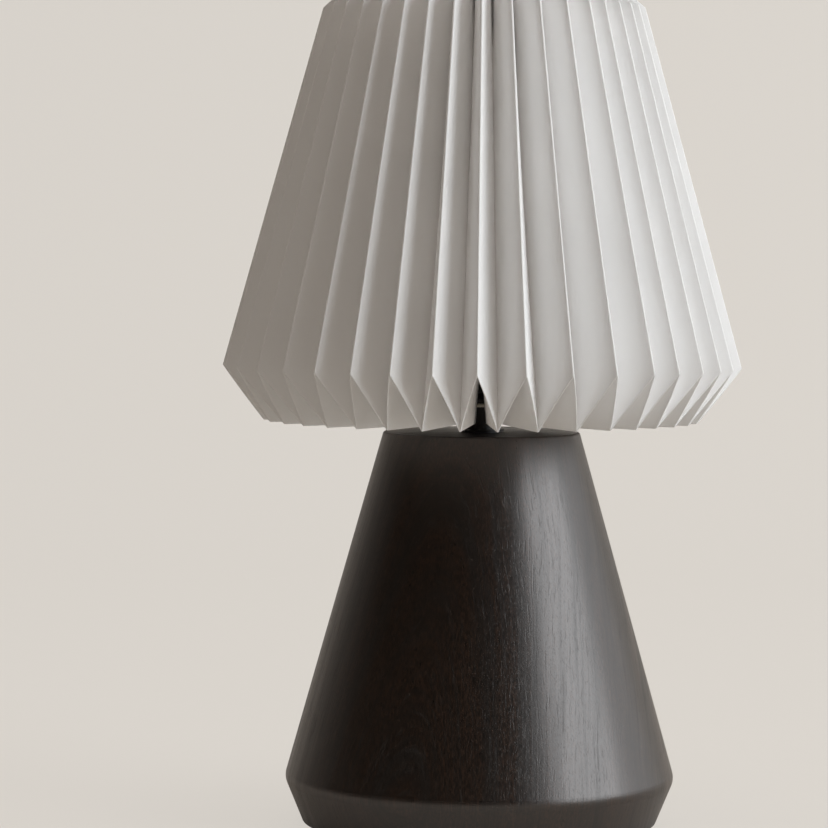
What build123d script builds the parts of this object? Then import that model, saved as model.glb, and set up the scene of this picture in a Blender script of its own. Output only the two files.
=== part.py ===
"""Pleated paper table lamp: a turned dark wooden base, a screwed lamp holder and bulb, a wire carrier,
and a shade folded from one strip of paper into parallel pleats.

Millimetres. +Z is up, the origin is the centre of the foot, and the cable leaves at the back, along +Y.
"""

import os
from math import asin, atan2, cos, hypot, radians, sin, sqrt, tan

from build123d import *

# Fits
running_fit = 0.1  # between a turning piece and what it turns on
loose_fit = 0.3  # between a laid-on piece and its seat
thread_fit = 0.05  # between a thread and its nut, on the radius

# Turned wooden base, from the foot up
felt_thickness = 2.0
felt_margin = 4.0  # felt stops this far inside the edge of the foot
foot_radius = 102.4
base_radius = 112.9  # at the crease, before it is rounded
base_top_radius = 56.7
foot_height = 25.5  # from the foot's underside up to the crease
base_height = 225.5
crease_round = 10.0
top_round = 1.5
foot_round = 1.0

# Hollow under the base, closed by a steel plate
plate_radius = 76.0
plate_thickness = 3.0
cavity_radius = 62.0
cavity_depth = 19.0  # above the plate
cavity_round = 4.0
plate_screws = 4
plate_screw_radius = 1.75
plate_screw_length = 18.0
plate_screw_head_radius = 3.5

# Cable inlet through the back of the foot
inlet_height = 9.0  # above the plate
bush_bore = 3.5
bush_wall = 1.5
bush_length = 14.0
bush_flange_radius = 7.5
bush_flange_thickness = 3.0
bush_seat_depth = 1.7  # of the flange's flat, below the bevel's surface
duct_radius = 4.0

# Threaded tube that ties the base and the lamp holder together
tube_radius = 5.0
tube_bore = 3.6
tube_end_below_nut = 2.5
washer_radius = 14.0
washer_thickness = 1.5
nut_width = 17.0
nut_thickness = 6.0
neck_washer_radius = 13.0
neck_radius = 9.0
neck_height = 10.5

# Lamp holder
holder_cap_radius = 20.0
holder_cap_height = 21.5
holder_boss_height = 7.0
holder_cap_wall = 1.8
holder_ledge_width = 2.7
holder_shoulder = 3.7  # rise of the cap from its boss to its full width
grub_radius = 1.95
insert_flange_thickness = 2.0
insert_drop = 3.0  # from the flange down to the terminals
insert_floor = 4.0  # from the flange up to the contacts
insert_cup_height = 23.0
insert_cup_wall = 2.3
shell_wall = 0.5
shell_height = 22.0
contact_strip = 0.6
contact_width = 5.0
terminal_screw_radius = 1.7
terminal_screw_length = 6.0
terminal_spacing = 18.0
sleeve_spigot = 4.0
sleeve_flange_radius = 21.5
sleeve_flange_height = 5.0
sleeve_radius = 19.6
sleeve_wall = 2.5
sleeve_rim_gap = 0.5  # from the sleeve's rim up to the bulb's housing

# Ring that clamps the carrier
ring_lip_width = 7.3
ring_lip_thickness = 2.5
ring_collar_wall = 2.9
ring_height = 8.0
ring_notches = 24
ring_notch_radius = 0.9

# Wire carrier
hub_rim = 4.0  # how far the hub shows outside the ring
hub_thickness = 2.0
carrier_arms = 3
arm_wire = 1.3
arm_bend = 6.0
arm_overlap = 1.6  # of the arm's foot on the hub
globe_clearance = 5.7  # between the arms and the globe
top_ring_wire = 1.5

# Bulb
bulb_cap_radius = 13.1
bulb_cap_height = 21.0
bulb_cap_wall = 0.4
bulb_cap_shoulder = 3.0
bulb_cap_hole = 9.5
bulb_cap_play = 0.35  # inside the screw shell
bulb_contact_radius = 4.8
bulb_contact_height = 1.5
bulb_insulator_height = 3.5
bulb_tip_height = 8.5  # above the insert's floor
bulb_neck_radius = 20.0
bulb_neck_height = 15.5  # from the cap to the globe's rim
bulb_spigot = 10.0
globe_radius = 30.0
globe_wall = 1.2
globe_centre = 33.0  # above its rim
led_board_radius = 16.0
led_board_thickness = 1.6

# Shade: one strip of paper in parallel pleats, creased at the top and bottom and turned inwards there
pleats = 36
paper = 0.5
panel_width = 31.8  # between two neighbouring folds, square to them
shade_gap = 6.8  # from the base to the shade's lowest folds
shade_radius = 150.0  # outward folds, at their lower crease
shade_side_height = 209.7  # outward folds, from crease to crease
shade_side_run = 58.3  # how far they come in over that height
crown_slope = 7.6  # degrees that the top rises inwards
crown_lap = 7.0  # how far the paper reaches in over the top ring
lift_clearance = 3.5  # round the top ring as the shade is lifted over it
draw_cord_wire = 1.2
draw_cord_inset = 3.0  # of a cord, from the paper's inner edge

# Heights and radii that follow
foot_bottom = felt_thickness
base_top = foot_bottom + base_height
plate_top = foot_bottom + plate_thickness
plate_rabbet = plate_radius + loose_fit
plate_screw_circle = (cavity_radius + plate_rabbet) / 2
cavity_top = plate_top + cavity_depth
inlet_axis = plate_top + inlet_height
bush_flange_seat = bush_flange_radius + loose_fit
bevel_share = (inlet_axis - bush_flange_seat - foot_bottom) / foot_height
bush_seat = foot_radius + bevel_share * (base_radius - foot_radius) - bush_seat_depth
tube_hole = tube_radius + running_fit
holder_bottom = base_top + washer_thickness + neck_height
holder_cap_top = holder_bottom + holder_cap_height
holder_cap_bore = holder_cap_radius - holder_cap_wall
ledge_bore = holder_cap_bore - holder_ledge_width
sleeve_bottom = holder_cap_top - sleeve_spigot
sleeve_bore = sleeve_radius - sleeve_wall
ledge_top = sleeve_bottom - insert_flange_thickness
tube_top = holder_bottom + holder_boss_height + holder_cap_wall
insert_floor_top = sleeve_bottom + insert_floor
shell_bore = bulb_cap_radius + bulb_cap_play
sleeve_flange_top = holder_cap_top + sleeve_flange_height
hub_bottom = sleeve_flange_top + running_fit
hub_top = hub_bottom + hub_thickness
ring_bottom = hub_top + running_fit
ring_bore = sleeve_radius + running_fit
ring_radius = ring_bore + ring_lip_width
ring_collar_radius = ring_bore + ring_collar_wall
hub_radius = ring_radius + hub_rim
top_ring_radius = globe_radius + globe_clearance + arm_wire
top_opening_radius = top_ring_radius - crown_lap
bottom_opening_radius = top_ring_radius + top_ring_wire + lift_clearance
bulb_tip = insert_floor_top + bulb_tip_height
bulb_cap_bottom = bulb_tip + bulb_contact_height + bulb_insulator_height
bulb_cap_top = bulb_cap_bottom + bulb_cap_height
sleeve_top = bulb_cap_top - sleeve_rim_gap
globe_rim = bulb_cap_top + bulb_neck_height
shade_bottom = base_top + shade_gap

upwards = (Align.CENTER, Align.CENTER, Align.MIN)


def turned(outline, rounds=()):
    """Turn a closed outline of (radius, height) points about the axis, after rounding some corners."""
    profile = make_face(Polyline(*outline, close=True))
    for corner, radius in rounds:
        nearest = profile.vertices().sort_by_distance(Vector(*corner))[0]
        profile = fillet(nearest, radius)
    return revolve(Plane.XZ * profile, Axis.Z)


def tube(inner, outer, low, high):
    """A round tube on the axis, from one height to another."""
    wall = Cylinder(outer, high - low, align=upwards) - Cylinder(inner, high - low, align=upwards)
    return Pos(0, 0, low) * wall


def rod_along_y(radius, start, end):
    """A rod on the cable inlet's line, out through the back of the foot."""
    return Pos(0, start, inlet_axis) * Rot(X=-90) * Cylinder(radius, end - start, align=upwards)


# ---- Base -------------------------------------------------------------------------------------------


def plate_screw_places():
    """Where the plate's screws stand, midway between the four sides."""
    return PolarLocations(plate_screw_circle, plate_screws, start_angle=180 / plate_screws)


def wooden_base():
    """One turned block: a low bevelled foot, a crease, and a tall cone, hollow below for the wiring."""
    crease = (base_radius, foot_bottom + foot_height)
    top_edge = (base_top_radius, base_top)
    foot_edge = (foot_radius, foot_bottom)
    ceiling = (cavity_radius, cavity_top)
    outline = [
        (tube_hole, cavity_top),
        ceiling,
        (cavity_radius, plate_top),
        (plate_rabbet, plate_top),
        (plate_rabbet, foot_bottom),
        foot_edge,
        crease,
        top_edge,
        (tube_hole, base_top),
    ]
    rounds = [(crease, crease_round), (top_edge, top_round), (foot_edge, foot_round), (ceiling, cavity_round)]
    block = turned(outline, rounds)
    pilot = Cylinder(plate_screw_radius + thread_fit, plate_screw_length, align=upwards)
    for place in plate_screw_places():
        block -= Pos(0, 0, foot_bottom) * place * pilot
    block -= rod_along_y(duct_radius, 0, bush_seat)
    block -= rod_along_y(bush_bore + bush_wall + running_fit, bush_seat - bush_length, bush_seat)
    block -= rod_along_y(bush_flange_seat, bush_seat, base_radius)
    return block


def base_plate():
    """The steel disc that closes the hollow, countersunk for its screws."""
    plate = Pos(0, 0, foot_bottom) * Cylinder(plate_radius, plate_thickness, align=upwards)
    sink = turned(screw_outline(running_fit))
    for place in plate_screw_places():
        plate -= Pos(0, 0, foot_bottom) * place * sink
    return plate


def screw_outline(margin):
    """Half of a countersunk screw, head down, or of the hole that it goes through with a margin."""
    head = plate_screw_head_radius + margin
    shank = plate_screw_radius + margin
    return [(0, 0), (head, 0), (shank, head - shank), (shank, plate_screw_length), (0, plate_screw_length)]


def base_plate_screws():
    """The plate's countersunk wood screws."""
    screw = turned(screw_outline(0))
    return [Pos(0, 0, foot_bottom) * place * screw for place in plate_screw_places()]


def felt_pad():
    """The felt disc under the foot, which covers the plate."""
    return Cylinder(foot_radius - felt_margin, felt_thickness, align=upwards)


def cable_bush():
    """The flanged bush that the cable goes in through."""
    bush = rod_along_y(bush_bore + bush_wall, bush_seat - bush_length, bush_seat)
    bush += rod_along_y(bush_flange_radius, bush_seat, bush_seat + bush_flange_thickness)
    rim = bush.edges().filter_by(GeomType.CIRCLE).group_by(Axis.Y)[-1]
    bush = fillet(rim, bush_flange_thickness / 3)
    return bush - rod_along_y(bush_bore, bush_seat - bush_length, bush_seat + bush_flange_thickness)


# ---- Threaded tube and neck -------------------------------------------------------------------------


def threaded_tube():
    """The hollow tube from the nut under the base up into the holder's cap."""
    low = cavity_top - washer_thickness - nut_thickness - tube_end_below_nut
    return tube(tube_bore, tube_radius, low, tube_top)


def tube_washer():
    """The washer under the wood, above the nut."""
    return tube(tube_hole, washer_radius, cavity_top - washer_thickness, cavity_top)


def tube_nut():
    """The hexagon nut that pulls the tube down."""
    blank = extrude(RegularPolygon(nut_width / 2, 6, major_radius=False), nut_thickness)
    blank -= Cylinder(tube_radius + thread_fit, nut_thickness, align=upwards)
    return Pos(0, 0, cavity_top - washer_thickness - nut_thickness) * blank


def neck_washer():
    """The washer on top of the base."""
    return tube(tube_hole, neck_washer_radius, base_top, base_top + washer_thickness)


def neck_spacer():
    """The short dark tube that lifts the holder off the base."""
    return tube(tube_hole, neck_radius, base_top + washer_thickness, holder_bottom)


# ---- Lamp holder ------------------------------------------------------------------------------------


def holder_cap():
    """The holder's lower cup: a threaded boss, a shoulder, and a ledge that the insert sits on."""
    boss_top = holder_bottom + holder_boss_height
    shoulder = boss_top + holder_shoulder
    outer_shoulder = (holder_cap_radius, shoulder)
    outline = [
        (tube_radius + thread_fit, holder_bottom),
        (neck_radius, holder_bottom),
        (neck_radius, boss_top),
        outer_shoulder,
        (holder_cap_radius, holder_cap_top),
        (holder_cap_bore, holder_cap_top),
        (holder_cap_bore, ledge_top),
        (ledge_bore, ledge_top),
        (ledge_bore, shoulder + holder_cap_wall / 2),
        (neck_radius, boss_top + holder_cap_wall),
        (tube_radius + thread_fit, boss_top + holder_cap_wall),
    ]
    cup = turned(outline, [(outer_shoulder, holder_cap_wall)])
    return cup - grub_screw_rod(grub_radius + thread_fit, 0)


def grub_screw_rod(radius, start):
    """A rod on the grub screw's line, through the side of the cap's boss."""
    rod = Cylinder(radius, neck_radius - start, align=upwards)
    return Pos(start, 0, holder_bottom + holder_boss_height / 2) * Rot(Y=90) * rod


def holder_grub_screw():
    """The grub screw that locks the cap on the tube, with its hexagon socket."""
    start = tube_radius + thread_fit
    socket = extrude(RegularPolygon(grub_radius / 2, 6), grub_radius)
    screw = grub_screw_rod(grub_radius, start)
    return screw - Pos(neck_radius - grub_radius, 0, holder_bottom + holder_boss_height / 2) * Rot(Y=90) * socket


def terminal_places():
    """Where the two terminals are, either side of the axis."""
    return GridLocations(terminal_spacing, 0, 2, 1)


def holder_insert():
    """The ceramic insert: terminals below, a flange on the ledge, and a cup for the screw shell."""
    stem = ledge_bore - running_fit
    cup_bore = shell_bore + shell_wall + running_fit
    cup_radius = cup_bore + insert_cup_wall
    outline = [
        (0, ledge_top - insert_drop),
        (stem, ledge_top - insert_drop),
        (stem, ledge_top),
        (holder_cap_bore - loose_fit, ledge_top),
        (holder_cap_bore - loose_fit, sleeve_bottom),
        (cup_radius, sleeve_bottom),
        (cup_radius, sleeve_bottom + insert_cup_height),
        (cup_bore, sleeve_bottom + insert_cup_height),
        (cup_bore, insert_floor_top),
        (0, insert_floor_top),
    ]
    body = turned(outline)
    hole = Cylinder(terminal_screw_radius + thread_fit, terminal_screw_length, align=upwards)
    for place in terminal_places():
        body -= Pos(0, 0, ledge_top - insert_drop) * place * hole
    return body


def terminal_screws():
    """The two screws that clamp the conductors, with their slots."""
    head_radius = terminal_screw_radius * 1.7
    head_height = terminal_screw_radius
    screw = Cylinder(terminal_screw_radius, terminal_screw_length, align=upwards)
    screw += Pos(0, 0, -head_height) * Cylinder(head_radius, head_height, align=upwards)
    screw -= Pos(0, 0, -head_height) * Box(2 * head_radius, contact_strip, head_height)
    return [Pos(0, 0, ledge_top - insert_drop) * place * screw for place in terminal_places()]


def screw_shell():
    """The brass shell that the bulb screws into, with the turned-in rim that holds it down."""
    outline = [
        (shell_bore - 2 * shell_wall, insert_floor_top),
        (shell_bore + shell_wall, insert_floor_top),
        (shell_bore + shell_wall, insert_floor_top + shell_height),
        (shell_bore, insert_floor_top + shell_height),
        (shell_bore, insert_floor_top + shell_wall),
        (shell_bore - 2 * shell_wall, insert_floor_top + shell_wall),
    ]
    return turned(outline)


def centre_contact():
    """The springy strip in the middle of the insert that the bulb's tip presses on."""
    rise = bulb_tip_height - loose_fit
    foot = shell_bore - 3 * shell_wall
    heel = foot / 2
    bottom_line = [(-foot, 0), (-heel, 0), (-contact_strip, rise - contact_strip), (heel, rise - contact_strip)]
    top_line = [(heel, rise), (-2 * contact_strip, rise), (-heel - contact_strip, contact_strip), (-foot, contact_strip)]
    side = make_face(Polyline(*bottom_line, *top_line, close=True))
    strip = extrude(Plane.XZ * side, contact_width / 2, both=True)
    return Pos(0, 0, insert_floor_top) * strip


def holder_sleeve():
    """The holder's upper sleeve, with the flange that bears the carrier and the barrel for its ring."""
    rim = (sleeve_radius, sleeve_top)
    outline = [
        (sleeve_bore, sleeve_bottom),
        (holder_cap_bore - running_fit, sleeve_bottom),
        (holder_cap_bore - running_fit, holder_cap_top),
        (sleeve_flange_radius, holder_cap_top),
        (sleeve_flange_radius, sleeve_flange_top),
        (sleeve_radius, sleeve_flange_top),
        rim,
        (sleeve_bore, sleeve_top),
    ]
    return turned(outline, [(rim, sleeve_wall / 3)])


# ---- Ring and carrier -------------------------------------------------------------------------------


def shade_ring():
    """The ring that screws down the sleeve: a wide grooved lip and a collar."""
    lip_top = ring_bottom + ring_lip_thickness
    collar_edge = (ring_collar_radius, ring_bottom + ring_height)
    outline = [
        (ring_bore, ring_bottom),
        (ring_radius, ring_bottom),
        (ring_radius, lip_top),
        (ring_collar_radius, lip_top),
        collar_edge,
        (ring_bore, ring_bottom + ring_height),
    ]
    ring = turned(outline, [(collar_edge, ring_collar_wall / 4)])
    notch = Cylinder(ring_notch_radius, ring_lip_thickness, align=upwards)
    for place in PolarLocations(ring_radius, ring_notches):
        ring -= Pos(0, 0, ring_bottom) * place * notch
    return ring


def carrier_hub():
    """The flat ring of the carrier that lies on the sleeve's flange."""
    return tube(sleeve_radius + loose_fit, hub_radius, hub_bottom, hub_top)


def carrier_arm(number):
    """A wire that runs out over the hub's edge and turns up to the top ring."""
    height = hub_top + arm_wire
    foot_start = (hub_radius - arm_overlap, height)
    corner = (top_ring_radius, height)
    top_end = (top_ring_radius, top_ring_height() - top_ring_wire)
    bend = min(arm_bend, 0.9 * (corner[0] - foot_start[0]))
    line = Plane.XZ * FilletPolyline(foot_start, corner, top_end, radius=bend)
    start = Plane(origin=(foot_start[0], 0, foot_start[1]), z_dir=(1, 0, 0))
    wire = sweep(start * Circle(arm_wire), path=line)
    return Rot(Z=90 + number * 360 / carrier_arms) * wire


def top_ring_height():
    """The height of the top ring's wire, which lies under the shade's crown."""
    inner, outer = fold_line(outward=True)[1][:2]
    share = (top_ring_radius - inner[0]) / (outer[0] - inner[0])
    paper_height = inner[1] + share * (outer[1] - inner[1])
    slope = hypot(1, (outer[1] - inner[1]) / (outer[0] - inner[0]))
    return paper_height - (top_ring_wire + loose_fit) * slope


def carrier_top_ring():
    """The closed wire ring that the shade hangs on."""
    return Pos(0, 0, top_ring_height()) * Torus(top_ring_radius, top_ring_wire)


# ---- Bulb -------------------------------------------------------------------------------------------


def bulb_contact():
    """The solder tip at the bottom of the bulb."""
    tip = Pos(0, 0, bulb_tip) * Cylinder(bulb_contact_radius, bulb_contact_height, align=upwards)
    return fillet(tip.edges().group_by(Axis.Z)[0], bulb_contact_height / 2)


def bulb_insulator():
    """The glass cone between the tip and the cap."""
    low = bulb_tip + bulb_contact_height
    seat = bulb_cap_hole - thread_fit
    high = bulb_cap_bottom + bulb_cap_wall
    return turned([(0, low), (bulb_contact_radius + bulb_cap_wall, low), (seat, bulb_cap_bottom), (seat, high), (0, high)])


def bulb_cap():
    """The bulb's metal screw cap, a thin shell with a conical shoulder."""
    shoulder = bulb_cap_bottom + bulb_cap_shoulder
    bore = bulb_cap_radius - bulb_cap_wall
    outline = [
        (bulb_cap_hole, bulb_cap_bottom),
        (bulb_cap_radius, shoulder),
        (bulb_cap_radius, bulb_cap_top),
        (bore, bulb_cap_top),
        (bore, shoulder + bulb_cap_wall / 2),
        (bulb_cap_hole, bulb_cap_bottom + bulb_cap_wall),
    ]
    return turned(outline)


def bulb_housing():
    """The plastic body between the cap and the globe, with the spigot that the cap is crimped on."""
    spigot = bulb_cap_radius - bulb_cap_wall - thread_fit
    waist = (bulb_cap_radius + 1.0, bulb_cap_top)
    middle = (bulb_neck_radius - 2.0, bulb_cap_top + bulb_neck_height * 0.4)
    outline = [
        (0, bulb_cap_top - bulb_spigot),
        (spigot, bulb_cap_top - bulb_spigot),
        (spigot, bulb_cap_top),
        waist,
        middle,
        (bulb_neck_radius, globe_rim),
        (0, globe_rim),
    ]
    return turned(outline, [(middle, bulb_neck_height / 3)])


def globe_body(radius, rim_radius):
    """A ball with a straight neck that runs tangent down to its open rim."""
    reach = hypot(rim_radius, globe_centre)
    tangent_angle = atan2(-globe_centre, rim_radius) + asin(sqrt(1 - (radius / reach) ** 2))
    top = (0, globe_centre + radius)
    touch = (radius * cos(tangent_angle), globe_centre + radius * sin(tangent_angle))
    halfway = (tangent_angle + radians(90)) / 2
    side = (radius * cos(halfway), globe_centre + radius * sin(halfway))
    outline = Line((0, 0), (rim_radius, 0)) + Line((rim_radius, 0), touch)
    outline += ThreePointArc(touch, side, top)
    outline += Line(top, (0, 0))
    return Pos(0, 0, globe_rim) * revolve(Plane.XZ * make_face(outline), Axis.Z)


def bulb_globe():
    """The opal globe, a thin blown shell."""
    return globe_body(globe_radius, bulb_neck_radius) - globe_body(globe_radius - globe_wall, bulb_neck_radius - globe_wall)


def bulb_led_board():
    """The disc with the light sources, under the globe."""
    return Pos(0, 0, globe_rim) * Cylinder(led_board_radius, led_board_thickness, align=upwards)


# ---- Shade ------------------------------------------------------------------------------------------


def fold_pitch(radius):
    """Straight distance from an outward fold to the next inward one, at a radius."""
    return 2 * radius * sin(radians(90 / pleats))


def fold_depth(radius):
    """How deep the pleats are at a radius, from one side of the zigzag to the other."""
    return sqrt(panel_width**2 - fold_pitch(radius) ** 2)


def paper_reach(radius):
    """The paper's thickness along the depth of the pleats, where its panels stand on edge."""
    return paper * panel_width / fold_pitch(radius)


def mitre(corner, first, second, distance):
    """Move a corner so that both of its sides shift by a distance along their unit normals."""
    scale = distance / (1 + first[0] * second[0] + first[1] * second[1])
    return (corner[0] + scale * (first[0] + second[0]), corner[1] + scale * (first[1] + second[1]))


def fold_line(outward):
    """The outside and inside of one fold line in its own upright plane, as (radius, height) points.

    They run from the top opening over the upper and lower creases to the bottom opening. An inward fold
    lies behind its outward neighbours on the sides, and outside them on the top and the underside, where
    the creases turn every fold the other way.
    """
    slope = atan2(shade_side_run, shade_side_height)
    rise = radians(crown_slope)
    side_in = (-cos(slope), -sin(slope))
    crown_out = (sin(rise), cos(rise))
    under_out = (0.0, -1.0)
    upper_radius = shade_radius - shade_side_run
    lower_depth = fold_depth(shade_radius - panel_width / 2)
    upper_depth = fold_depth(upper_radius - panel_width / 2)
    lower = (shade_radius, shade_bottom + lower_depth)
    upper = (upper_radius, lower[1] + shade_side_height)
    top = (top_opening_radius, upper[1] + (upper_radius - top_opening_radius) * tan(rise))
    inward_lower = mitre(lower, side_in, under_out, lower_depth)
    inward_upper = mitre(upper, side_in, crown_out, upper_depth)
    if not outward:
        top = (top[0], top[1] + fold_depth(top_opening_radius))
        bottom = (bottom_opening_radius, shade_bottom)
        line = [top, inward_upper, inward_lower, bottom]
    else:
        bottom = (bottom_opening_radius, shade_bottom + fold_depth(bottom_opening_radius))
        line = [top, upper, lower, bottom]
    crown_in = (-crown_out[0], -crown_out[1])
    under_in = (0.0, 1.0)
    inside = [
        (line[0][0], line[0][1] - paper_reach(top_opening_radius)),
        mitre(line[1], crown_in, side_in, paper_reach((upper[0] + inward_upper[0]) / 2)),
        mitre(line[2], side_in, under_in, paper_reach((lower[0] + inward_lower[0]) / 2)),
        (line[3][0], line[3][1] + paper_reach(bottom_opening_radius)),
    ]
    return line, inside


def fold_points(fold):
    """One fold's outside and inside lines as points in space, counted round from the front."""
    angle = radians(fold * 180 / pleats - 90)
    lines = fold_line(outward=fold % 2 == 0)
    return [[Vector(r * cos(angle), r * sin(angle), z) for r, z in line] for line in lines]


def twisted_panel(first, second, third, fourth):
    """A four-cornered stretch of paper that isn't flat, as two triangles."""
    corners = [(first, second, third), (first, third, fourth)]
    return [Face(Wire.make_polygon(triangle, close=True)) for triangle in corners]


def pleated_shade():
    """The folded paper: every panel from an outward fold to an inward one, outside, inside and rims."""
    folds = [fold_points(fold) for fold in range(2 * pleats)]
    faces = []
    for ridge in range(0, 2 * pleats, 2):
        for valley in (ridge - 1, ridge + 1):
            (ridge_out, ridge_in), (valley_out, valley_in) = folds[ridge], folds[valley]
            for ridge_line, valley_line in ((ridge_out, valley_out), (ridge_in, valley_in)):
                for upper in range(3):
                    lower = upper + 1
                    panel = (ridge_line[upper], ridge_line[lower], valley_line[lower], valley_line[upper])
                    faces += twisted_panel(*panel)
            for end in (0, 3):
                faces += twisted_panel(ridge_out[end], ridge_in[end], valley_in[end], valley_out[end])
    return Solid(Shell(faces))


def draw_cord(opening_radius, height):
    """A cord threaded through every panel near the paper's inner edge, which holds the pleats shut."""
    return Pos(0, 0, height) * Torus(opening_radius + draw_cord_inset, draw_cord_wire)


def upper_draw_cord():
    """The cord round the top opening, halfway down the pleats."""
    crown_fold = fold_line(outward=True)[0][0]
    return draw_cord(top_opening_radius, crown_fold[1] + fold_depth(top_opening_radius) / 2)


def lower_draw_cord():
    """The cord round the bottom opening, a third of the way up the pleats."""
    return draw_cord(bottom_opening_radius, shade_bottom + fold_depth(bottom_opening_radius) / 3)


pieces = {
    "felt_pad": felt_pad(),
    "wooden_base": wooden_base(),
    "base_plate": base_plate(),
    "base_plate_screws": base_plate_screws(),
    "cable_bush": cable_bush(),
    "threaded_tube": threaded_tube(),
    "tube_washer": tube_washer(),
    "tube_nut": tube_nut(),
    "neck_washer": neck_washer(),
    "neck_spacer": neck_spacer(),
    "holder_cap": holder_cap(),
    "holder_grub_screw": holder_grub_screw(),
    "holder_insert": holder_insert(),
    "terminal_screws": terminal_screws(),
    "screw_shell": screw_shell(),
    "centre_contact": centre_contact(),
    "holder_sleeve": holder_sleeve(),
    "shade_ring": shade_ring(),
    "carrier_hub": carrier_hub(),
    "carrier_top_ring": carrier_top_ring(),
    "bulb_contact": bulb_contact(),
    "bulb_insulator": bulb_insulator(),
    "bulb_cap": bulb_cap(),
    "bulb_housing": bulb_housing(),
    "bulb_led_board": bulb_led_board(),
    "bulb_globe": bulb_globe(),
    "pleated_shade": pleated_shade(),
    "upper_draw_cord": upper_draw_cord(),
    "lower_draw_cord": lower_draw_cord(),
}
for arm in range(carrier_arms):
    pieces[f"carrier_arm_{arm + 1}"] = carrier_arm(arm)

os.makedirs("parts", exist_ok=True)
for name, piece in pieces.items():
    shape = Compound(children=piece) if isinstance(piece, list) else piece
    export_step(shape, f"parts/{name}.step")
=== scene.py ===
"""The looks of a table lamp: a turned, dark stained wooden base and a shade of folded white paper.

Metres. +Z is up and the front is towards -Y. The sections follow the lamp as it is put together.
"""

import math

import bpy
import numpy as np
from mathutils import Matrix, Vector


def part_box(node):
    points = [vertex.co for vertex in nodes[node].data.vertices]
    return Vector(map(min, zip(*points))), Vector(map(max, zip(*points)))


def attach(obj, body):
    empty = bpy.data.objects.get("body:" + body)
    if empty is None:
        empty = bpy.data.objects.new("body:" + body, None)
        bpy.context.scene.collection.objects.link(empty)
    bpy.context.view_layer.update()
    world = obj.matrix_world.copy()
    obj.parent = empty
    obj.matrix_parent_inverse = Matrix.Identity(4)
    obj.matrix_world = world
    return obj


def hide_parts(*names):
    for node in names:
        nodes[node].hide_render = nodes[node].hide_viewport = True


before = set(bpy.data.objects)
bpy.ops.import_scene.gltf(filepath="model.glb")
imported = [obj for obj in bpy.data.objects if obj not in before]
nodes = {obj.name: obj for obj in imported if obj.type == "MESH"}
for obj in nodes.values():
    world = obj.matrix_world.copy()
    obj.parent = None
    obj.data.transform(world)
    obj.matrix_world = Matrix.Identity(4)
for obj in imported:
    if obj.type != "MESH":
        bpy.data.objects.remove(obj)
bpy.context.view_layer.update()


# ---- Wooden base ---------------------------------------------------------------------------------
# One block turned on a lathe: a low bevelled foot, a soft crease and a tall cone. Stained nearly
# black and lacquered satin, so that the growth rings show as faint arches and the pores as fine
# upright streaks.


class Wire:
    """One output of a material's node. Arithmetic with wires adds Math nodes to the material."""

    def __init__(self, finish, socket):
        self.finish = finish
        self.socket = socket

    def math(self, operation, first, second):
        return self.finish.node("Math", {"operation": operation}, {0: first, 1: second})

    def __add__(self, other):
        return self.math("ADD", self, other)

    def __radd__(self, other):
        return self.math("ADD", other, self)

    def __sub__(self, other):
        return self.math("SUBTRACT", self, other)

    def __rsub__(self, other):
        return self.math("SUBTRACT", other, self)

    def __mul__(self, other):
        return self.math("MULTIPLY", self, other)

    def __rmul__(self, other):
        return self.math("MULTIPLY", other, self)

    def __pow__(self, other):
        return self.math("POWER", self, other)


class Finish:
    """A material. A node is added with its settings, then the values or wires of its sockets."""

    def __init__(self, name):
        self.material = bpy.data.materials.new(name)
        self.material.use_nodes = True
        self.tree = self.material.node_tree
        self.tree.nodes.clear()

    def node(self, kind, settings=None, sockets=None, output=0):
        node = self.tree.nodes.new("ShaderNode" + kind)
        for name, value in (settings or {}).items():
            setattr(node, name, value)
        for key, value in (sockets or {}).items():
            if isinstance(value, Wire):
                self.tree.links.new(value.socket, node.inputs[key])
            else:
                node.inputs[key].default_value = value
        return Wire(self, node.outputs[output] if node.outputs else None)

    def places(self, fineness=(1, 1, 1)):
        """Object coordinates in metres, times a fineness along each axis."""
        here = self.node("TexCoord", output="Object")
        return self.node("Mapping", {}, {"Vector": here, "Scale": fineness})

    def noise(self, vector, detail=2.0, roughness=0.5):
        """Noise from 0 to 1 at a place, with about one swell in each unit of the vector."""
        sockets = {"Vector": vector, "Scale": 1.0, "Detail": detail, "Roughness": roughness}
        return self.node("TexNoise", {}, sockets)

    def between(self, value, low, high):
        """0 below low, 1 above high, with a soft step from one to the other."""
        settings = {"interpolation_type": "SMOOTHSTEP"}
        sockets = {"Value": value, "From Min": low, "From Max": high}
        return self.node("MapRange", settings, sockets)

    def colour(self, first, second, share):
        """A colour that goes from the first to the second as share goes from 0 to 1."""
        sockets = {0: share, 6: first, 7: second}
        return self.node("Mix", {"data_type": "RGBA"}, sockets, output=2)

    def surface(self, bump, depth, **sockets):
        """The surface itself, with a relief this many metres deep, and the material's output."""
        values = {}
        for name, value in sockets.items():
            values[name.replace("_", " ").title().replace("Ior", "IOR")] = value
        relief = {"Height": bump, "Distance": depth, "Strength": 1.0}
        values["Normal"] = self.node("Bump", {}, relief)
        shader = self.node("BsdfPrincipled", {}, values)
        self.node("OutputMaterial", {}, {"Surface": shader})
        return self


def rgb(*levels):
    """A colour as the renderer takes it, from its usual 0 to 255 values."""
    linear = [
        ((level / 255 + 0.055) / 1.055) ** 2.4 if level > 10 else level / 255 / 12.92
        for level in levels
    ]
    return (*linear, 1.0)


def dress(finish, *names):
    """Gives CAD nodes a finish."""
    for name in names:
        for slot in nodes[name].material_slots:
            slot.material = finish.material


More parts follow.
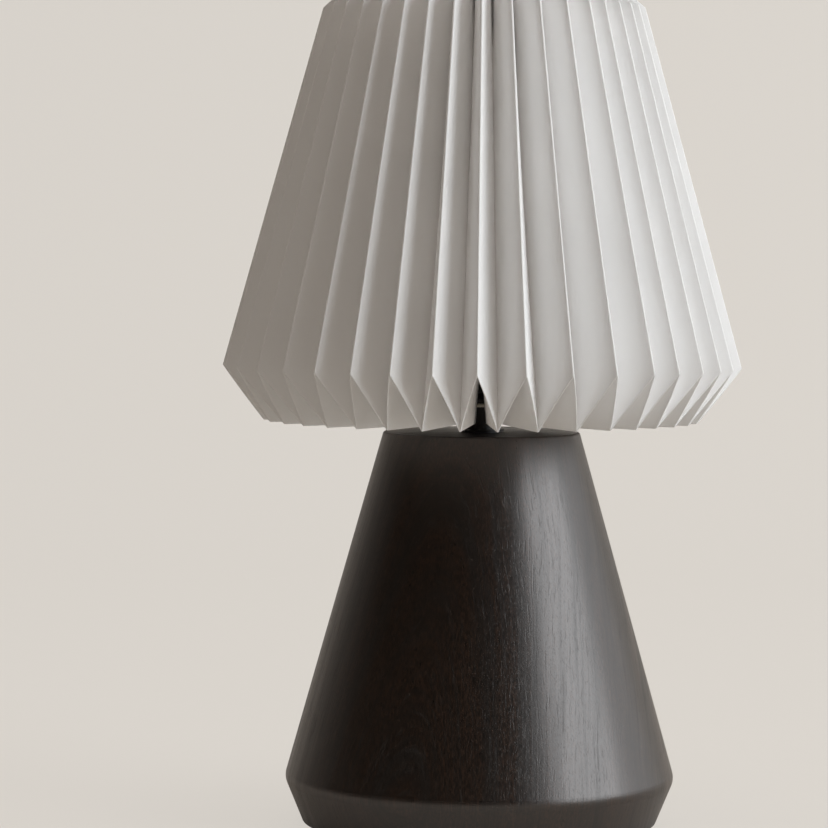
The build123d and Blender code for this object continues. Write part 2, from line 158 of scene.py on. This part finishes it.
def stained_wood():
    """Rings round an upright pith line near the block's front, so that the cone cuts arches.

    A place's distance from the pith line, bent a little by slow noise, counts the rings. Noise
    that runs fast with that distance and slowly along the ring draws the rings' lines and their
    short dashes. Noise that is stretched along the trunk draws the fibres and the pores.
    """
    pith_x, pith_y = -0.044, -0.118
    pith_lean, lean_from = 0.1, 0.12
    wood = Finish("stained wood")
    x, y, z = (
        wood.node("SeparateXYZ", {}, {0: wood.places()}, output=axis) for axis in range(3)
    )
    sway = wood.noise(wood.places((12, 12, 5)), detail=3.0) - 0.5
    ripple = wood.noise(wood.places((70, 70, 14))) - 0.5
    across = x - pith_x - (z - lean_from) * pith_lean + sway * 0.015
    away = y - pith_y
    distance = (across * across + away * away) ** 0.5 + sway * 0.012 + ripple * 0.002

    def along_rings(fineness, along, detail):
        """Noise that changes with the distance from the pith, and slowly along the ring."""
        place = wood.node("CombineXYZ", {}, {0: distance * fineness, 1: x * along, 2: z * along})
        return wood.noise(place, detail=detail, roughness=0.6)

    bands = wood.between(along_rings(150.0, 5.0, 3.0), 0.36, 0.66)
    lines = wood.between(along_rings(560.0, 14.0, 2.0), 0.44, 0.66)
    dashes = wood.between(along_rings(820.0, 80.0, 1.0), 0.60, 0.70)
    fibre = wood.noise(wood.places((1200, 1200, 28)), detail=3.0, roughness=0.6)
    pores = wood.between(wood.noise(wood.places((2000, 2000, 80)), detail=1.0), 0.62, 0.72)

    stain = wood.colour(rgb(13, 9, 7), rgb(64, 44, 32), wood.between(fibre, 0.3, 0.8))
    stain = wood.colour(stain, rgb(6, 4, 3), bands * 0.62 + lines * 0.35)
    stain = wood.colour(stain, rgb(5, 4, 3), pores * 0.6 + dashes * 0.3)
    ring_gloss = bands * 0.05 + lines * 0.05 + dashes * 0.08
    gloss = 0.3 + (fibre - 0.5) * 0.16 + pores * 0.1 + ring_gloss
    height = (fibre - 0.5) * 0.5 - pores * 0.45 - dashes * 0.6 - lines * 0.3
    return wood.surface(
        bump=height,
        depth=0.00004,
        base_color=stain,
        roughness=gloss,
        ior=1.55,
        specular_ior_level=1.0,
        specular_tint=(1.0, 0.95, 0.93, 1.0),
    )


dress(stained_wood(), "wooden_base")


# ---- Cable bush ----------------------------------------------------------------------------------
# A flanged bush pushed into the back of the foot, where the cable goes in. Moulded rubber, dull and
# a little grainy.


def darker(colour, share):
    """A colour with each of its parts taken down to a share."""
    return (*(part * share for part in colour[:3]), 1.0)


def grainy(name, base, roughness, grain=900.0, depth=0.00003, contrast=0.12):
    """A moulded, cast or painted surface: its colour and gloss vary a little with a fine grain."""
    finish = Finish(name)
    grit = finish.noise(finish.places((grain, grain, grain)), detail=3.0)
    cloud = finish.noise(finish.places((25, 25, 25)))
    share = finish.between(grit * 0.6 + cloud * 0.4, 0.3, 0.7)
    tone = finish.colour(darker(base, 1 - contrast), base, share)
    gloss = roughness + (grit - 0.5) * 0.12
    return finish.surface(bump=grit, depth=depth, base_color=tone, roughness=gloss)


dress(grainy("rubber", rgb(26, 25, 24), 0.75, grain=500.0), "cable_bush")


# ---- Threaded tube, washer and nut ---------------------------------------------------------------
# Zinc plated steel. The tube runs up through the block and ties it to the lamp holder; in the
# hollow under the foot, the nut pulls it down on its washer.


def plated_steel():
    """Zinc plate: a cloudy blue-grey metal with fine scratches round the axis."""
    steel = Finish("zinc plated steel")
    cloud = steel.noise(steel.places((120, 120, 120)), detail=4.0)
    scratch = steel.noise(steel.places((300, 300, 2600)))
    share = steel.between(cloud, 0.3, 0.7)
    tone = steel.colour(rgb(168, 170, 174), rgb(206, 208, 210), share)
    gloss = 0.28 + cloud * 0.16 + (scratch - 0.5) * 0.12
    return steel.surface(
        bump=scratch, depth=0.00001, base_color=tone, metallic=1.0, roughness=gloss
    )


steel = plated_steel()
dress(steel, "threaded_tube", "tube_washer", "tube_nut")


# ---- Neck ----------------------------------------------------------------------------------------
# A washer and a short spacer that lift the lamp holder off the wood, with the tube inside them.
# Steel, painted satin black.

dress(grainy("black paint", rgb(24, 23, 22), 0.42, grain=1400.0), "neck_washer", "neck_spacer")


# ---- Lamp holder ---------------------------------------------------------------------------------
# A black moulded cap and sleeve round a ceramic insert, which carries the brass shell, contact and
# terminals. A small grub screw locks the cap on the tube.

black_plastic = grainy("black plastic", rgb(27, 26, 26), 0.48, grain=1800.0)
dress(black_plastic, "holder_cap", "holder_sleeve")
dress(grainy("ceramic", rgb(232, 228, 216), 0.55, grain=2200.0), "holder_insert")
dress(steel, "holder_grub_screw")


def bare_metal(name, base, roughness, streaks=(200, 200, 2400)):
    """Drawn or turned sheet metal: fine streaks and a little tarnish."""
    metal = Finish(name)
    streak = metal.noise(metal.places(streaks), detail=3.0)
    tarnish = metal.between(metal.noise(metal.places((60, 60, 60)), detail=4.0), 0.35, 0.75)
    gloss = roughness + tarnish * 0.12 + (streak - 0.5) * 0.1
    tone = metal.colour(base, darker(base, 0.62), tarnish * 0.5)
    return metal.surface(
        bump=streak, depth=0.000008, base_color=tone, metallic=1.0, roughness=gloss
    )


brass = bare_metal("brass", rgb(214, 178, 106), 0.28)
dress(brass, "screw_shell", "centre_contact", "terminal_screws")


# ---- Plate, its screws and the felt --------------------------------------------------------------
# A plated steel disc, held by four screws, closes the hollow under the block. A pad of pressed felt
# covers the disc and the foot.

dress(steel, "base_plate", "base_plate_screws")


def pressed_felt():
    """Short matted fibres: a coarse fleck and a fine fuzz."""
    felt = Finish("felt")
    fleck = felt.noise(felt.places((420, 420, 420)), detail=5.0, roughness=0.7)
    fuzz = felt.noise(felt.places((2600, 2600, 2600)))
    return felt.surface(
        bump=fleck * 0.7 + fuzz * 0.5,
        depth=0.0003,
        base_color=felt.colour(rgb(24, 23, 22), rgb(62, 60, 57), felt.between(fleck, 0.3, 0.8)),
        roughness=0.95,
        sheen_weight=0.3,
    )


dress(pressed_felt(), "felt_pad")


# ---- Wire carrier and its ring -------------------------------------------------------------------
# The hub lies on the holder's flange, three wires rise from it to a closed ring. Welded steel,
# powder coated white. A black moulded ring screws down the sleeve and clamps the hub.

powder_coat = grainy(
    "white powder coat", rgb(228, 226, 220), 0.5, grain=1500.0, depth=0.00005, contrast=0.05
)
dress(powder_coat, "carrier_hub", "carrier_top_ring")
dress(powder_coat, "carrier_arm_1", "carrier_arm_2", "carrier_arm_3")
dress(grainy("ring plastic", rgb(30, 29, 29), 0.45, grain=1600.0), "shade_ring")


# ---- Bulb ----------------------------------------------------------------------------------------
# A nickel plated cap with a soldered tip and black glass, a white housing, and an opal globe over
# the board with its light sources.

polished = 0.000004  # depth of the relief left on glass
dress(bare_metal("nickel plate", rgb(206, 204, 200), 0.25), "bulb_cap")
dress(bare_metal("solder", rgb(176, 176, 176), 0.4, streaks=(400, 400, 400)), "bulb_contact")
dress(bare_metal("board", rgb(205, 206, 208), 0.35), "bulb_led_board")
white_plastic = grainy("white plastic", rgb(233, 232, 228), 0.4, grain=1700.0, contrast=0.04)
dress(white_plastic, "bulb_housing")
black_glass = grainy("black glass", rgb(12, 12, 14), 0.12, grain=300.0, depth=polished)
dress(black_glass, "bulb_insulator")
opal_glass = grainy(
    "opal glass", rgb(240, 239, 233), 0.22, grain=40.0, depth=polished, contrast=0.03
)
dress(opal_glass, "bulb_globe")


# ---- Pleated shade -------------------------------------------------------------------------------
# One strip of white coated paper in parallel pleats, glued into a ring, which hangs on the carrier.
# Near its upper and lower ends it is creased all round: every fold turns the other way there, and
# the paper runs in to its openings.

shade_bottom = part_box("pleated_shade")[0].z
pleats = 36
panels = 2 * pleats
paper = 0.00045
cad_paper = 0.0005
panel_width = 0.0318
shade_radius = 0.150
side_height = 0.2097
side_run = 0.0583
crown_rise = math.radians(7.6)
top_opening = 0.030
bottom_opening = 0.042
fold_radius = 0.00034  # of the paper's middle, round a fold
crease_radius = 0.0012
turn_error = 0.004  # radians that an inward fold lies off its place, as a spread round zero
fold_error = 0.00025  # that a fold stands out or in, as a spread round zero
usual_bow, bow_error = 0.0002, 0.00022  # of a panel, outwards, and its spread


def fold_pitch(radius):
    """Straight distance from an outward fold to the next inward one, at a radius."""
    return 2 * radius * math.sin(math.radians(90 / pleats))


def fold_depth(radius):
    """How deep the pleats are at a radius: the third side of a triangle of panel and pitch."""
    return math.sqrt(panel_width**2 - fold_pitch(radius) ** 2)


def paper_reach(radius):
    """How much the paper's thickness adds to the depth of the pleats at a radius."""
    return cad_paper * panel_width / fold_pitch(radius)


def fold_lines():
    """The middle of the paper along an outward and an inward fold, as rows of (radius, height).

    The outward fold is three straight lines: over the crown, down the side and in below. The
    inward fold lies one depth behind it on the side, and one depth outside it above and below, so
    each of its corners is where its two shifted lines meet.
    """
    slope = math.atan2(side_run, side_height)
    crown_out = np.array([math.sin(crown_rise), math.cos(crown_rise)])
    side_out = np.array([math.cos(slope), math.sin(slope)])
    under_out = np.array([0.0, -1.0])
    upper_radius = shade_radius - side_run
    upper_middle = upper_radius - panel_width / 2
    lower_middle = shade_radius - panel_width / 2
    lower = np.array([shade_radius, shade_bottom + fold_depth(lower_middle)])
    upper = lower + np.array([-side_run, side_height])
    crown_end = upper[1] + (upper_radius - top_opening) * math.tan(crown_rise)
    half = paper / 2

    def line(crown, upper_side, lower_side, under, top, bottom):
        """Corners where lines shifted along their outward normals meet, between two free ends."""
        first = upper + np.linalg.solve(np.array([crown_out, side_out]), [crown, upper_side])
        second = lower + np.linalg.solve(np.array([side_out, under_out]), [lower_side, under])
        return np.array([[top_opening, crown_end + top], first, second, [bottom_opening, bottom]])

    upper_depth = fold_depth(upper_middle)
    lower_depth = fold_depth(lower_middle)
    upper_reach = paper_reach(upper_middle)
    lower_reach = paper_reach(lower_middle)
    outward = line(
        crown=half - upper_reach,
        upper_side=-half,
        lower_side=-half,
        under=half - lower_reach,
        top=half - paper_reach(top_opening),
        bottom=shade_bottom + fold_depth(bottom_opening) + paper_reach(bottom_opening) - half,
    )
    inward = line(
        crown=upper_depth - half,
        upper_side=half - upper_depth - upper_reach,
        lower_side=half - lower_depth - lower_reach,
        under=lower_depth - half,
        top=fold_depth(top_opening) - half,
        bottom=shade_bottom + half,
    )
    return outward, inward


def rounded(line):
    """A line of four corners in evenly cut stretches, its two inner corners eased by a parabola."""
    rows_per_stretch = (6, 16, 9)
    rows_per_corner = 4
    parts = []
    start = line[0]
    for number in (1, 2):
        corner = line[number]
        back, ahead = line[number - 1] - corner, line[number + 1] - corner
        before = corner + back / np.linalg.norm(back) * crease_radius
        after = corner + ahead / np.linalg.norm(ahead) * crease_radius
        share = np.linspace(0, 1, rows_per_stretch[number - 1], endpoint=False)[:, None]
        parts.append(start + (before - start) * share)
        share = np.linspace(0, 1, rows_per_corner, endpoint=False)[:, None]
        bend = before * (1 - share) ** 2 + 2 * corner * share * (1 - share) + after * share**2
        parts.append(bend)
        start = after
    share = np.linspace(0, 1, rows_per_stretch[2])[:, None]
    parts.append(start + (line[3] - start) * share)
    return np.vstack(parts)


def across_panel(half_pitch, depth):
    """Shares of pitch and depth over one panel, from an outward fold to an inward one.

    The paper turns round the fold on an arc, runs straight, and turns back on a like arc. Its lean
    comes from the line that touches both arcs between them. A row for each height, a column for
    each place.
    """
    arc = np.linspace(0, 1, 5)
    run = np.array([0.16, 0.38, 0.62, 0.84])
    span = np.hypot(half_pitch, depth - 2 * fold_radius)
    lean = np.arccos(2 * fold_radius / span) - np.arctan2(depth - 2 * fold_radius, half_pitch)
    turn = (math.pi / 2 - lean)[:, None] * arc
    arc_pitch = fold_radius * np.sin(turn)
    arc_depth = fold_radius * (1 - np.cos(turn))
    end_pitch = half_pitch[:, None] - arc_pitch[:, ::-1]
    end_depth = depth[:, None] - arc_depth[:, ::-1]
    run_pitch = arc_pitch[:, -1:] * (1 - run) + end_pitch[:, :1] * run
    run_depth = arc_depth[:, -1:] * (1 - run) + end_depth[:, :1] * run
    pitch = np.hstack([arc_pitch, run_pitch, end_pitch]) / half_pitch[:, None]
    depths = np.hstack([arc_depth, run_depth, end_depth]) / depth[:, None]
    return pitch, depths


def fold_angles(rng):
    """The angle of each fold round the ring, outward and inward by turns, and the first one again.

    The outward folds in front have places of their own, in degrees from the front towards the
    right. The others share the rest evenly. Each inward fold is about midway between two outward.
    """
    front = [-77.5, -67.0, -56.5, -47.1, -37.5, -28.4, -19.4, -10.3, -1.0]
    front += [9.2, 19.2, 29.2, 38.9, 46.3, 54.9, 62.8, 71.5]
    back = np.linspace(front[-1], front[0] + 360, pleats - len(front) + 2)[1:]
    outward = np.radians(np.append(front, back)) - math.pi / 2
    inward = (outward[1:] + outward[:-1]) / 2 + rng.normal(0, turn_error, pleats)
    return np.append(np.stack([outward[:-1], inward], -1).ravel(), outward[-1])


def paper_middle():
    """The middle of the paper on a grid of heights and places round, and the way to the next fold.

    Round the ring, the angle goes evenly with the pitch, and radius and height go from the outward
    fold's to the inward fold's with the depth. Each fold stands out or in a little, each panel
    bows a little.
    """
    rng = np.random.default_rng(7)
    outward, inward = (rounded(line) for line in fold_lines())
    step = inward - outward
    half_pitch = (outward[:, 0] + inward[:, 0]) / 2 * math.pi / pleats
    pitch, depths = across_panel(half_pitch, np.linalg.norm(step, axis=1))
    fold_angle = fold_angles(rng)
    shift = rng.normal(0, fold_error, panels)
    bow = rng.normal(usual_bow, bow_error, panels)

    angles, radii, heights, ways = [], [], [], []
    for panel in range(panels):
        leaves_ridge = panel % 2 == 0
        share = pitch[:, :-1] if leaves_ridge else 1 - pitch[:, :0:-1]
        deep = depths[:, :-1] if leaves_ridge else depths[:, :0:-1]
        angles.append(fold_angle[panel] + (fold_angle[panel + 1] - fold_angle[panel]) * share)
        sag = bow[panel] * np.sin(math.pi * share)
        first, second = shift[panel], shift[(panel + 1) % panels]
        slip = first + (second - first) * share
        radii.append(outward[:, :1] + step[:, :1] * deep + slip + sag)
        heights.append(outward[:, 1:] + step[:, 1:] * deep)
        ways.append(np.minimum(deep, 1 - deep) * panel_width)
    angle, radius, height = np.hstack(angles), np.hstack(radii), np.hstack(heights)
    middle = np.stack([radius * np.cos(angle), radius * np.sin(angle), height], -1)
    return middle, np.hstack(ways)


def put_mesh(name, points, faces, flat_from=None):
    """An object at the origin of points and faces, smooth but for the faces from a number on."""
    mesh = bpy.data.meshes.new(name)
    mesh.from_pydata(points.tolist(), [], faces.tolist())
    smooth = np.ones(len(faces), bool)
    if flat_from is not None:
        smooth[flat_from:] = False
    mesh.polygons.foreach_set("use_smooth", smooth)
    mesh.update()
    piece = bpy.data.objects.new(name, mesh)
    bpy.context.scene.collection.objects.link(piece)
    return piece


def ring_faces(rows, columns, start=0):
    """Faces of a grid that closes on itself across its columns, facing away from its first side."""
    row, column = np.meshgrid(np.arange(rows - 1), np.arange(columns), indexing="ij")
    here = start + row * columns + column
    beside = start + row * columns + (column + 1) % columns
    return np.stack([here, here + columns, beside + columns, beside], -1).reshape(-1, 4)


def pleated_paper():
    """The shade: the middle of the paper shifted both ways along its normal, with closed rims."""
    middle, way = paper_middle()
    along = np.roll(middle, -1, axis=1) - np.roll(middle, 1, axis=1)
    down = np.gradient(middle, axis=0)
    normal = np.cross(down, along)
    normal /= np.linalg.norm(normal, axis=-1, keepdims=True)
    outside = middle + normal * paper / 2
    inside = middle - normal * paper / 2
    points = np.vstack([outside.reshape(-1, 3), inside.reshape(-1, 3)])

    rows, columns = way.shape
    count = rows * columns
    outer_faces = ring_faces(rows, columns)
    inner_faces = ring_faces(rows, columns, count)[:, ::-1]
    top = np.arange(columns)
    top_beside = (top + 1) % columns
    top_rim = np.stack([top, top_beside, top_beside + count, top + count], -1)
    low = top + count - columns
    low_beside = top_beside + count - columns
    bottom_rim = np.stack([low, low + count, low_beside + count, low_beside], -1)
    faces = np.vstack([outer_faces, inner_faces, top_rim, bottom_rim])

    piece = put_mesh("paper_shade", points, faces, len(outer_faces) + len(inner_faces))
    fold = piece.data.attributes.new("from_fold", "FLOAT", "POINT")
    fold.data.foreach_set("value", np.tile(way.ravel(), 2).astype(np.float32))
    return piece


def coated_paper():
    """Matt white coated card: a faint cloud and tooth, and a thin worn line on every fold.

    Along each fold the coat is glossier from wear, and its colour is painted lighter as a
    highlight.
    """
    card = Finish("shade paper")
    cloud = card.noise(card.places((18, 18, 18)), detail=4.0)
    tooth = card.noise(card.places((2600, 2600, 2600)))
    from_fold = card.node("Attribute", {"attribute_name": "from_fold"}, output="Fac")
    # Along every fold: less rough where the coat is worn, and a lighter colour that is a painted
    # highlight.
    fold_wear_and_highlight = 1.0 - card.between(from_fold, 0.0001, 0.0006)
    tone = card.colour(rgb(250, 250, 250), rgb(253, 253, 253), card.between(cloud, 0.3, 0.7))
    return card.surface(
        bump=tooth,
        depth=0.00001,
        base_color=card.colour(tone, rgb(254, 254, 254), fold_wear_and_highlight * 0.6),
        roughness=0.62 + (tooth - 0.5) * 0.1 - fold_wear_and_highlight * 0.08,
        specular_ior_level=0.3,
    )


paper_shade = pleated_paper()
paper_shade.data.materials.append(coated_paper().material)
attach(paper_shade, "shade")
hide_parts("pleated_shade")


# ---- Draw cords ----------------------------------------------------------------------------------
# Two cords of twisted cotton, one above and one below, each closed into a ring. They are threaded
# through every panel near its inner edge and hold the pleats shut.


def twisted_cord(name, node):
    """A closed cord round the axis: each strand circles the cord's line once in every lay."""
    strands, lay = 3, 0.0045
    steps_per_turn, sides = 16, 8
    low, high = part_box(node)
    cord_radius = (high.z - low.z) / 2
    ring_radius = high.x - cord_radius
    strand_radius = cord_radius * 0.5
    turns = round(2 * math.pi * ring_radius / lay)
    steps = steps_per_turn * turns
    around = np.arange(steps) / steps * 2 * math.pi
    side = np.arange(sides) / sides * 2 * math.pi
    out = np.stack([np.cos(around), np.sin(around), np.zeros(steps)], -1)
    up = np.array([0.0, 0.0, 1.0])
    here = np.arange(steps)[:, None] * sides + np.arange(sides)
    points, faces = [], []
    for strand in range(strands):
        phase = (turns * around + strand * 2 * math.pi / strands)[:, None]
        offset = (cord_radius - strand_radius) * (np.cos(phase) * out + np.sin(phase) * up)
        centre = ring_radius * out + offset
        skin = np.cos(side)[None, :, None] * out[:, None] + np.sin(side)[None, :, None] * up
        tube = centre[:, None] + strand_radius * skin
        tube[..., 2] += (low.z + high.z) / 2
        points.append(tube.reshape(-1, 3))
        near = here + strand * steps * sides
        far = np.roll(near, -1, 0)
        corners = [near, far, np.roll(far, -1, 1), np.roll(near, -1, 1)]
        faces.append(np.stack(corners, -1).reshape(-1, 4))
    piece = put_mesh(name, np.vstack(points), np.vstack(faces))
    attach(piece, "shade")
    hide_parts(node)
    return piece


def cotton():
    """Undyed cotton yarn: soft, pale, with a fine fuzz."""
    yarn = Finish("cotton cord")
    fuzz = yarn.noise(yarn.places((3000, 3000, 3000)), detail=3.0)
    tone = yarn.colour(rgb(198, 190, 176), rgb(230, 224, 212), yarn.between(fuzz, 0.3, 0.7))
    return yarn.surface(
        bump=fuzz, depth=0.00008, base_color=tone, roughness=0.9, sheen_weight=0.2
    )


yarn = cotton()
for cord_name, cord_node in (("top_cord", "upper_draw_cord"), ("bottom_cord", "lower_draw_cord")):
    twisted_cord(cord_name, cord_node).data.materials.append(yarn.material)


# ---- Floor, backdrop, light and camera -----------------------------------------------------------
# A seamless pale sheet. A large soft light stands on the right, a little in front, and a weaker one
# on the right, a little behind. A warm one hangs above, and a trace of warm light is all round.

sheet_colour = rgb(226, 221, 214)  # as the camera sees it
bounce_colour = rgb(216, 211, 204)  # as it throws light back
far_sheet_colour = rgb(210, 205, 198)  # past its edges
even_share = 0.8  # of what the camera sees is one even tone; the rest keeps the lamp's shadow
mirrored_share = 0.1  # of what gloss mirrors is that tone


def backdrop():
    """A floor that curves up into a wall behind: straight, a quarter circle, straight."""
    half_width, front, back, curve, top = 14.0, 8.0, 2.2, 0.8, 14.0
    floor = -0.0003  # just under the felt, so that the two don't fight
    turn = np.linspace(0, math.pi / 2, 24)
    depth = np.concatenate([[-front], back - curve + curve * np.sin(turn), [back]])
    height = np.concatenate([[floor], floor + curve * (1 - np.cos(turn)), [top]])
    left = np.stack([np.full_like(depth, -half_width), depth, height], -1)
    right = left * np.array([-1, 1, 1])
    first = np.arange(len(depth) - 1)
    faces = np.stack([first, first + len(depth), first + len(depth) + 1, first + 1], -1)
    return put_mesh("backdrop", np.vstack([left, right]), faces)


def backdrop_paper():
    """A plain pale sheet that takes the lamp's shadow, nearly even in front and clear behind."""
    sheet = Finish("backdrop")
    plain = sheet.node("BsdfDiffuse", {}, {"Color": bounce_colour})
    even = sheet.node("Emission", {}, {"Color": sheet_colour, "Strength": 1.0})
    clear = sheet.node("BsdfTransparent")
    seen = sheet.node("LightPath", output="Is Camera Ray")
    mirrored = sheet.node("LightPath", output="Is Glossy Ray")
    behind = sheet.node("NewGeometry", output="Backfacing")
    share = seen * even_share + mirrored * mirrored_share
    shader = sheet.node("MixShader", {}, {0: share, 1: plain, 2: even})
    shader = sheet.node("MixShader", {}, {0: behind, 1: shader, 2: clear})
    sheet.node("OutputMaterial", {}, {"Surface": shader})
    return sheet


sheet = backdrop()
sheet.data.materials.append(backdrop_paper().material)

daylight = (0.92, 0.965, 1.0)
warm_white = (1.0, 0.90, 0.81)
lamp_middle = np.array([0.0, 0.0, 0.25])


def soft_light(name, size, distance, azimuth, elevation, watts, tint):
    """A rectangle of light that faces the lamp. Its azimuth turns from the right to the front."""
    light = bpy.data.lights.new(name, "AREA")
    light.shape = "RECTANGLE"
    light.size, light.size_y = size
    light.energy = watts
    light.color = tint
    azimuth, elevation = math.radians(azimuth), math.radians(elevation)
    level = math.cos(elevation)
    out = np.array(
        [math.cos(azimuth) * level, -math.sin(azimuth) * level, math.sin(elevation)]
    )
    lamp = bpy.data.objects.new(name, light)
    lamp.location = lamp_middle + out * distance
    lamp.rotation_euler = Vector(out).to_track_quat("Z", "Y").to_euler()
    bpy.context.scene.collection.objects.link(lamp)


soft_light("window", (2.6, 2.3), 3.2, azimuth=21, elevation=17, watts=72.0, tint=daylight)
soft_light("side", (2.1, 2.3), 3.2, azimuth=-18, elevation=17, watts=17.0, tint=daylight)
soft_light("ceiling", (3.0, 3.0), 2.8, azimuth=270, elevation=90, watts=42.0, tint=warm_white)

world = bpy.data.worlds.new("room")
bpy.context.scene.world = world
world.use_nodes = True
air = world.node_tree
room = air.nodes["Background"]
room.inputs["Color"].default_value = rgb(255, 228, 202)
room.inputs["Strength"].default_value = 0.035
beyond = air.nodes.new("ShaderNodeBackground")
beyond.inputs["Color"].default_value = far_sheet_colour
seen = air.nodes.new("ShaderNodeLightPath")
pick = air.nodes.new("ShaderNodeMixShader")
air.links.new(seen.outputs["Is Camera Ray"], pick.inputs[0])
air.links.new(room.outputs[0], pick.inputs[1])
air.links.new(beyond.outputs[0], pick.inputs[2])
air.links.new(pick.outputs[0], air.nodes["World Output"].inputs["Surface"])

camera_distance = 1.945
camera_height = 0.340
camera_down = math.radians(3.02)
camera_left = math.radians(1.17)
camera_roll = math.radians(-0.35)
camera_data = bpy.data.cameras.new("camera")
camera_data.sensor_width = 36.0
camera_data.lens = 146.5
camera = bpy.data.objects.new("camera", camera_data)
camera.location = (0.0, -camera_distance, camera_height)
camera.rotation_euler = (math.pi / 2 - camera_down, camera_roll, camera_left)
bpy.context.scene.collection.objects.link(camera)
bpy.context.scene.camera = camera
bpy.context.scene.view_settings.view_transform = "Standard"

# Light goes to and fro many times between the white pleats, so it is followed further than usual.
bpy.context.scene.cycles.max_bounces = 24
bpy.context.scene.cycles.diffuse_bounces = 16
